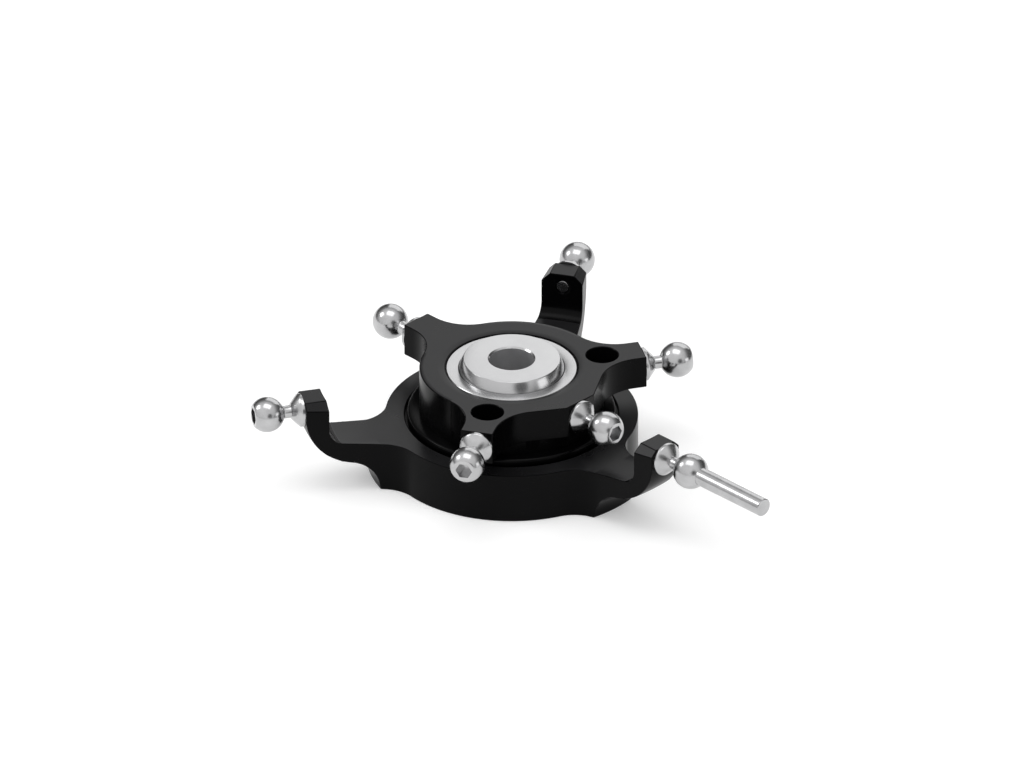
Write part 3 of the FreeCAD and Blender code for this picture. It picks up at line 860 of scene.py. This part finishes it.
# upright bar with the plan outline of the body and its three arms
def makePlanBar():
    sizes = bodySizes
    slope = math.tan(math.radians(sizes["taper"]))
    limbs = [armMoves(turn, sizes["lugOuter"], sizes["tipHalfWidth"], slope, sizes["radius"],
                      sizes["blend"], sizes["blendSteps"]) for turn in sizes["angles"]]
    start, moves = joinLimbs(limbs, sizes["arcDegrees"])
    beyond = meshCare["cutBeyond"]
    bar = drawOutline("planBar", start, moves, "xy", sizes["bottom"] - beyond)
    raiseSlab(sizes["lugTop"] - sizes["bottom"] + 2 * beyond)
    return bar


# milling block that slopes one top corner of a lug at 45 degrees
def cornerWedge(side, turn):
    sizes = bodySizes
    near, top = sizes["lugTopHalfWidth"], sizes["lugTop"]
    reach, beyond = sizes["wedgeReach"], meshCare["cutBeyond"]
    start = (side * (near - beyond), top + beyond)
    wedge = drawOutline("cornerWedge", start, [
        ("line", (side * (near + reach), top - reach)), ("line", (side * (near + reach), top + beyond)),
        ("line", start)])
    raiseSlab(sizes["wedgeLength"], (0, 1, 0))
    moveBy(wedge, (0, sizes["lugInner"] - sizes["wedgeSetBack"], 0))
    turnAbout(wedge, turn - 90)
    return wedge


def makeStationaryPlate():
    sizes = bodySizes
    plate = makeBodyBlank()
    combine(plate, makePlanBar(), "INTERSECT")
    for turn in sizes["angles"]:
        for side in (-1, 1):
            combine(plate, cornerWedge(side, turn), "DIFFERENCE")
        middle = (sizes["lugInner"] + sizes["lugOuter"]) / 2
        hole = roundBar("screwHole", sizes["screwHole"], (middle, 0, 0), sizes["holeLength"],
                        sizes["holeSteps"], "x", turn)
        combine(plate, hole, "DIFFERENCE")
    editAll(plate)
    bpy.ops.mesh.remove_doubles(threshold=sizes["cutMerge"] * mm)
    bpy.ops.mesh.select_all(action="SELECT")
    bpy.ops.mesh.dissolve_limited(angle_limit=math.radians(sizes["flatWithin"]), delimit={"NORMAL"})
    bpy.ops.object.mode_set(mode="OBJECT")

    def isMilledEdge(place):
        return math.hypot(place.x, place.y) > sizes["softFrom"]
    softenEdges(plate, sizes["softEdge"], 2, sizes["sharpAbove"], isMilledEdge)
    smoothFinish(plate, weight=100)
    standFor(plate, "stationary_plate", [blackAnodised, blackPaintedLit])

    # the large 45-degree lug corners take the lighter copy of the black: a painted highlight
    def isPaintedHighlightCorner(face):
        sloping = abs(face.normal.z - math.sqrt(0.5)) < sizes["cornerWithin"]
        return sloping and face.calc_area() > sizes["cornerArea"] * mm ** 2
    # the level tops take the lighter copy of the black too: painted light
    lowest = sizes["top"] - sizes["paintedLitDepth"]
    paintWhere(plate, 1, lambda face: isPaintedLitTop(face, lowest) or isPaintedHighlightCorner(face))


makeStationaryPlate()
print("stationary plate done")


studSizes = {"ball": 2.4, "reach": 4.8, "collar": 2.275, "rim": 0.4, "collarLength": 1.45, "cone": 1.12,
             "neck": 0.87, "neckStep": 0.12, "tip": 1.87, "socketAcross": 2.0, "socketDepth": 1.4,
             "thread": 1.0, "threadLength": 2.85, "threadPitch": 0.4, "threadDepth": 0.2,
             "pin": 1.25, "pinReach": 13.85, "collarEdge": 0.08, "neckFillet": 0.10, "tipEdge": 0.05,
             "pinEdge": 0.08, "onAxis": 0.001, "turnSteps": 128, "ballSteps": 40}


# thread and collar, from the thread's end out to the ball's neck, as (distance, radius)
def studFoot():
    sizes = studSizes
    points = [(-sizes["threadLength"], sizes["thread"] - sizes["threadDepth"])]
    along = -sizes["threadLength"] + sizes["threadPitch"] / 2
    while along < -sizes["threadPitch"]:
        points += [(along, sizes["thread"]),
                   (along + sizes["threadPitch"] / 2, sizes["thread"] - sizes["threadDepth"])]
        along += sizes["threadPitch"]
    points += [(0, sizes["thread"]), (0, sizes["collar"]), (sizes["rim"], sizes["collar"]),
               (sizes["collarLength"], sizes["cone"]),
               (sizes["collarLength"] + sizes["neckStep"], sizes["neck"])]
    return points


# hexagon recess in the end of a plain link ball
def cutSocket(stud, end):
    sizes = studSizes
    clearSelection()
    depth = sizes["socketDepth"] + meshCare["cutBeyond"]
    middle = end - sizes["socketDepth"] + depth / 2
    bpy.ops.mesh.primitive_cylinder_add(
        vertices=6, radius=sizes["socketAcross"] / math.sqrt(3) * mm, depth=depth * mm,
        location=(middle * mm, 0, 0), rotation=(0, math.pi / 2, 0))
    key = bpy.context.object
    bpy.ops.object.transform_apply(location=True, rotation=True)
    combine(stud, key, "DIFFERENCE")


# stud built along +X from its seat at the origin
def makeStud(name, withPin):
    sizes = studSizes
    foot = (-sizes["threadLength"], 0)
    centre = (sizes["reach"], 0)
    neckEnd = (sizes["reach"] - math.sqrt(sizes["ball"] ** 2 - sizes["neck"] ** 2), sizes["neck"])
    moves = [("line", point) for point in studFoot()] + [("line", neckEnd)]
    if withPin:
        root = (sizes["reach"] + math.sqrt(sizes["ball"] ** 2 - sizes["pin"] ** 2), sizes["pin"])
        end, edge, edgeSteps = sizes["reach"] + sizes["pinReach"], sizes["pinEdge"], 1
        rim = (end, sizes["pin"])
        moves += [arcBetween(neckEnd, root, centre, sizes["ballSteps"]), ("line", rim)]
    else:
        end, edge, edgeSteps = sizes["reach"] + sizes["tip"], sizes["tipEdge"], 2
        rim = (end, math.sqrt(sizes["ball"] ** 2 - sizes["tip"] ** 2))
        moves.append(arcBetween(neckEnd, rim, centre, sizes["ballSteps"]))
    stud = drawOutline(name, foot, moves + [("line", (end, 0)), ("line", foot)], "xy")
    roundOutline(stud, [(sizes["rim"], sizes["collar"])], sizes["collarEdge"], 2, "xy")
    roundOutline(stud, [neckEnd], sizes["neckFillet"], 3, "xy")
    roundOutline(stud, [rim], edge, edgeSteps, "xy")
    bpy.ops.mesh.select_all(action="SELECT")
    bpy.ops.mesh.delete(type="ONLY_FACE")
    onAxis = sizes["onAxis"] * mm
    selectWhere(stud, "edges", lambda edge: all(abs(vert.co.y) < onAxis for vert in edge.verts))
    bpy.ops.mesh.delete(type="EDGE")  # the line along the axis is not spun
    spinClosed(sizes["turnSteps"], (1, 0, 0))
    if not withPin:
        cutSocket(stud, end)
    lathe = stud.data.attributes.new("lathe", "FLOAT_VECTOR", "POINT")  # the stud's own axis as Z
    for vert, mark in zip(stud.data.vertices, lathe.data):
        mark.vector = (vert.co.y, vert.co.z, vert.co.x)
    editAll(stud)
    bpy.ops.mesh.dissolve_degenerate(threshold=meshCare["spunMerge"] * mm)
    smoothFinish(stud)
    return stud


def seatStud(stud, node, seat, turn):
    moveBy(stud, (seat, 0, 0))
    turnAbout(stud, turn)
    standFor(stud, node, [studSteel])


studPlaces = {  # name, seat and turn about the mast
    "pitch_ball_a": ("pitchBallA", plateSizes["armEnd"], 90),
    "pitch_ball_b": ("pitchBallB", plateSizes["armEnd"], 210),
    "pitch_ball_c": ("pitchBallC", plateSizes["armEnd"], 330),
    "driver_ball": ("driverBall", plateSizes["bossEnd"], 270),
    "servo_ball_a": ("servoBallA", bodySizes["lugOuter"], 30),
    "servo_ball_b": ("servoBallB", bodySizes["lugOuter"], 150),
}
plainStud = makeStud("linkBall", False)
for node, (name, seat, turn) in studPlaces.items():
    seatStud(copyOf(plainStud, name), node, seat, turn)
pickOnly(plainStud)
bpy.ops.object.delete()
seatStud(makeStud("guidePin", True), "guide_pin_ball", bodySizes["lugOuter"], 270)
print("link balls and guide pin done")


carried = {  # the CAD pieces that stay, each with its finish
    "ball_liner": whiteNylon, "bearing_inner_race": raceSteel, "bearing_outer_race": raceSteel,
    "bearing_balls": raceSteel, "bearing_cage": cageNylon, "bearing_shield_upper": shieldSteel,
    "bearing_shield_lower": shieldSteel, "hub_circlip": springSteel, "housing_circlip": springSteel,
}
for node, finish in carried.items():
    for materialSlot in cadNodes[node].material_slots:
        materialSlot.material = finish
print("carried-over nodes finished")
